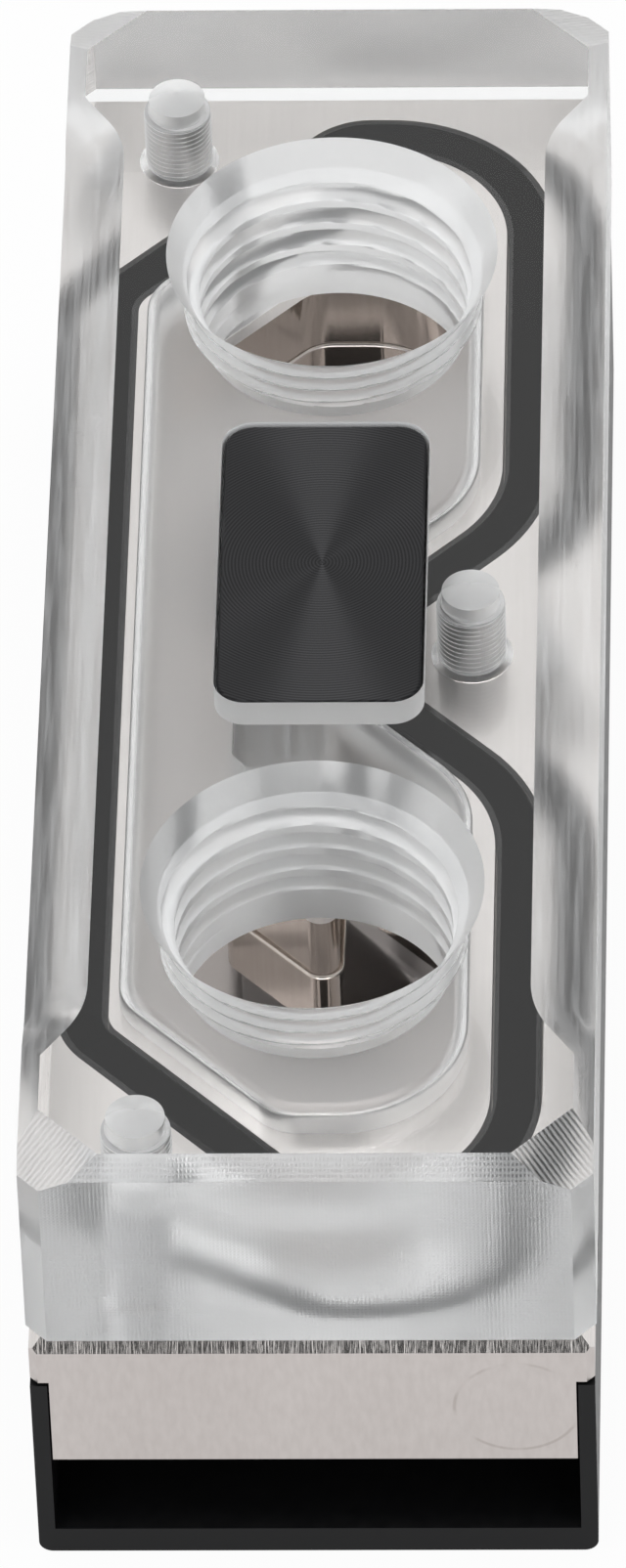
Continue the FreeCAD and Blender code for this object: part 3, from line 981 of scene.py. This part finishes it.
cold_plate = make_cold_plate([
    nickel("nickel_satin", (0.64, 0.595, 0.575), (0.56, 0.515, 0.495), roughness=0.33,
           scale=(3.5, 1.0, 1.2), depth=0.0008, worn=True),
    nickel("nickel_wall", (0.62, 0.57, 0.53), (0.54, 0.49, 0.45), roughness=0.10,
           scale=(4.0, 4.0, 0.15), depth=0.012),
    nickel("nickel_floor", (0.50, 0.46, 0.44), (0.45, 0.415, 0.40), roughness=0.04,
           scale=(0.5, 0.5, 0.5), depth=0.002),
    nickel("nickel_groove", (0.55, 0.50, 0.46), (0.50, 0.46, 0.42), roughness=0.36,
           scale=(2.0, 2.0, 2.0), depth=0.01),
    # Edge breaks: the lighter colour on these up-tilted chamfers is painted highlight; their milled lines
    # and glints come from the relief.
    nickel("nickel_break_painted_highlight", (0.80, 0.77, 0.75), (0.62, 0.59, 0.57), roughness=0.15,
           scale=(8.0, 0.5, 0.5), depth=0.10),
    # Joint face: its colour, lighter than nickel_satin, is painted light for the upward face seen through
    # the acrylic; its fine grain is the plate's own.
    nickel("nickel_joint_painted_light", (0.81, 0.78, 0.76), (0.76, 0.73, 0.71), roughness=0.33,
           scale=(5.0, 0.2, 0.4), depth=0.0003),
    # Top of the flow divider: the same joint face, its whiter colour painted light that brightens it
    # where it is seen through the frosted rib.
    nickel("nickel_island_painted_light", (0.90, 0.87, 0.85), (0.66, 0.60, 0.57), roughness=0.50,
           scale=(1.6, 0.05, 0.4), depth=0.002, metal=0.4),
])
seal = make_seal()
dress(seal, [painted("rubber", (0.003, 0.003, 0.003), (0.005, 0.005, 0.005), roughness=0.5,
                     grain=1.2, gloss=0.05, dust=0.05)])
for piece, node in ((terminal, "clear_terminal"), (cold_plate, "cold_plate"), (seal, "seal_ring")):
    place(piece, node)
nodes = frame["nodes"]
for name, made in {
    "inlay_plate": spun_black("spun_black"),
    "lower_tray": painted("black_anodised", (0.004, 0.004, 0.0045), (0.007, 0.007, 0.0075),
                          roughness=0.37, grain=1.5, gloss=0.2, dust=0.04),
    "terminal_screws": nickel("steel", (0.55, 0.55, 0.56), (0.5, 0.5, 0.5), roughness=0.36,
                              scale=(1.0, 1.0, 4.0), depth=0.01),
    "tray_screws": painted("black_steel", (0.03, 0.03, 0.03), (0.05, 0.05, 0.05),
                           roughness=0.37, grain=2.0),
}.items():
    dress(nodes[name], [made])

# ------------------------------------------------------------------ studio, in metres
FLOOR_SIZE = 4.0
FLOOR_DROP = 0.00002                # keeps the floor clear of the tray's underside
FLOOR_COLOUR = (0.62, 0.62, 0.62, 1)
FLOOR_WHITE = {"Is Camera Ray": 0.95, "Is Glossy Ray": 0.68, "Is Transmission Ray": 0.1}
SKY_COLOUR = (0.97, 0.985, 1.0, 1)
SKY_WHITE = {"Is Camera Ray": 1.0, "Is Glossy Ray": 1.0, "Is Transmission Ray": 1.0}
LAMP_TARGET = (0, 0, 0.015)
CAMERA_PLACE = Vector((23.807, -485.213, 504.178)) * MM
CAMERA_RIGHT = Vector((0.99936, 0.02223, -0.02789))
CAMERA_UP = Vector((0.00369, 0.71355, 0.70055))
CAMERA_LENS = 364.13                # millimetres
FLAG_SIZE = 0.45
FLAG_DISTANCE = 1.2                 # of the camera's own
FLAG_COLOUR = (0.05, 0.05, 0.05, 1)


def white_for_sight(tree, plain, shares):
    """White for what the camera sees, also in metal and through glass; `plain` for the rest.

    `shares` is how much white each kind of ray gets.
    """
    path = add(tree, "ShaderNodeLightPath")
    seen = None
    for ray, share in shares.items():
        part = math_node(tree, "MULTIPLY", path.outputs[ray], share)
        seen = math_node(tree, "MAXIMUM", seen, part) if seen else part
    kind = "ShaderNodeBackground" if plain.node.type == "BACKGROUND" else "ShaderNodeEmission"
    white = add(tree, kind, {"Color": (1, 1, 1, 1), "Strength": 1.0})
    return add(tree, "ShaderNodeMixShader", {0: seen, 1: plain, 2: white.outputs[0]}).outputs[0]


def card(name, size, made):
    """A level square sheet of a material, round the origin."""
    half = size / 2
    corners = [(-half, -half, 0), (half, -half, 0), (half, half, 0), (-half, half, 0)]
    mesh = bpy.data.meshes.new(name)
    mesh.from_pydata(corners, [], [(0, 1, 2, 3)])
    mesh.materials.append(made)
    return linked(name, mesh)


def aim(obj, direction):
    """Turns an object's front in a direction."""
    obj.rotation_mode = "QUATERNION"
    obj.rotation_quaternion = direction.to_track_quat("-Z", "Y")


def make_floor():
    """A grey floor that looks white."""
    made = node_material("floor")
    tree = made.node_tree
    tree.nodes.remove(tree.nodes["Principled BSDF"])
    plain = add(tree, "ShaderNodeBsdfDiffuse", {"Color": FLOOR_COLOUR})
    surface = white_for_sight(tree, plain.outputs[0], FLOOR_WHITE)
    feed(tree.nodes["Material Output"], {"Surface": surface})
    floor = card("floor", FLOOR_SIZE, made)
    floor.location.z = -FLOOR_DROP


def make_world():
    """A faintly blue sky that looks white."""
    world = bpy.data.worlds.new("studio")
    world.use_nodes = True
    tree = world.node_tree
    plain = tree.nodes["Background"]
    feed(plain, {"Color": SKY_COLOUR, "Strength": 1.0})
    surface = white_for_sight(tree, plain.outputs[0], SKY_WHITE)
    feed(tree.nodes["World Output"], {"Surface": surface})
    scene.world = world


def softbox(name, position, size, watts):
    """A square lamp that shines on the part and isn't seen itself."""
    lamp = bpy.data.lights.new(name, "AREA")
    lamp.shape = "SQUARE"
    lamp.size = size
    lamp.energy = watts
    obj = linked(name, lamp)
    obj.location = position
    aim(obj, Vector(LAMP_TARGET) - Vector(position))
    obj.visible_camera = False


def make_flag():
    """The dark of the camera and the one who holds it, which the faces turned to it reflect."""
    made = node_material("flag")
    feed(made.node_tree.nodes["Principled BSDF"], {"Base Color": FLAG_COLOUR})
    flag = card("flag", FLAG_SIZE, made)
    flag.location = CAMERA_PLACE * FLAG_DISTANCE
    aim(flag, -CAMERA_PLACE)
    flag.visible_camera = False
    flag.visible_shadow = False


def make_camera():
    """At the photo's angle: 45.5 degrees down, a little to the right of the long axis."""
    data = bpy.data.cameras.new("camera")
    data.lens = CAMERA_LENS
    camera = linked("camera", data)
    back = CAMERA_RIGHT.cross(CAMERA_UP).normalized()
    up = back.cross(CAMERA_RIGHT).normalized()
    turn = Matrix((CAMERA_RIGHT.normalized(), up, back)).transposed().to_4x4()
    camera.matrix_world = Matrix.Translation(CAMERA_PLACE) @ turn
    scene.camera = camera


make_floor()
make_world()
softbox("overhead", (0.0, -0.05, 0.75), size=0.30, watts=2.0)
softbox("left", (-0.55, 0.05, 0.50), size=0.4, watts=0.6)
make_flag()
make_camera()

scene.view_settings.view_transform = "Standard"
scene.cycles.max_bounces = 16
scene.cycles.transmission_bounces = 16
scene.cycles.glossy_bounces = 8
